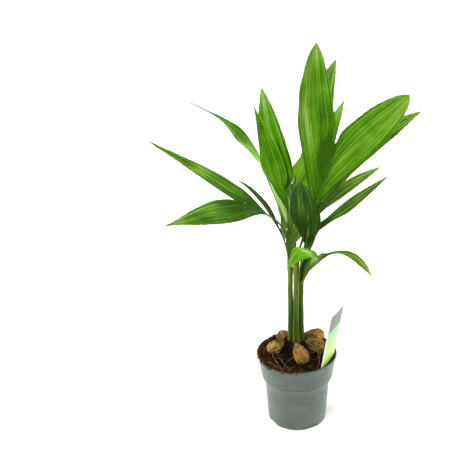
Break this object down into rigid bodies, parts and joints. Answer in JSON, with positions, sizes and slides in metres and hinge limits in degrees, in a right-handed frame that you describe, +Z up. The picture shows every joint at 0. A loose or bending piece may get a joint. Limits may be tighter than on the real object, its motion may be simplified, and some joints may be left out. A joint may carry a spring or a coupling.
{
  "type": "potted betel nut palm",
  "caption": "Young betel nut palm in a nursery pot: sprouted nuts half sunk in coir, a slim clump of stems and broad pleated leaves split in two, with a plain care tag.",
  "frame": {"origin": "middle of the pot's flat underside", "axes": "+Z up, -Y towards the side that shows best, +X to that side's right"},
  "size_m": [0.385, 0.3294, 0.6022],
  "materials": {
    "pot": "satin",
    "soil": "matte",
    "nut_husk": "matte",
    "stem": "satin",
    "leaf_stalk": "satin",
    "leaf_blade": "satin",
    "care_tag": "gloss"
  },
  "bodies": {
    "root": {"pot": "pot", "soil": "soil", "nut_left": "nut_husk", "nut_back_left": "nut_husk", "nut_front": "nut_husk", "nut_right": "nut_husk", "nut_back_right": "nut_husk", "stem_left": "stem", "stem_front": "stem", "stem_right": "stem", "stem_back": "stem", "stem_back_left": "stem", "stalk_crown_front": "leaf_stalk", "blade_crown_front_left": "leaf_blade", "blade_crown_front_right": "leaf_blade", "stalk_crown_back": "leaf_stalk", "blade_crown_back_left": "leaf_blade", "blade_crown_back_right": "leaf_blade", "stalk_middle": "leaf_stalk", "blade_middle_right": "leaf_blade", "blade_middle_back": "leaf_blade", "stalk_upright": "leaf_stalk", "blade_upright_right": "leaf_blade", "blade_upright_left": "leaf_blade", "stalk_left_arch": "leaf_stalk", "blade_left_arch_left": "leaf_blade", "blade_left_arch_back": "leaf_blade", "stalk_left_low": "leaf_stalk", "blade_left_low_upper": "leaf_blade", "blade_left_low_lower": "leaf_blade", "stalk_left_thin": "leaf_stalk", "blade_left_thin_left": "leaf_blade", "blade_left_thin_back": "leaf_blade", "stalk_middle_low": "leaf_stalk", "blade_middle_low_right": "leaf_blade", "stalk_front_dark": "leaf_stalk", "blade_front_dark_left": "leaf_blade", "blade_front_dark_right": "leaf_blade", "stalk_right_pair": "leaf_stalk", "blade_right_pair_upper": "leaf_blade", "blade_right_pair_lower": "leaf_blade", "stalk_small_low": "leaf_stalk", "blade_small_low_front": "leaf_blade", "blade_small_low_right": "leaf_blade", "stalk_back_right": "leaf_stalk", "blade_back_right_back": "leaf_blade", "blade_back_right_right": "leaf_blade", "stalk_back_low": "leaf_stalk", "blade_back_low_left": "leaf_blade", "blade_back_low_right": "leaf_blade", "care_tag": "care_tag"}
  },
  "joints": []
}
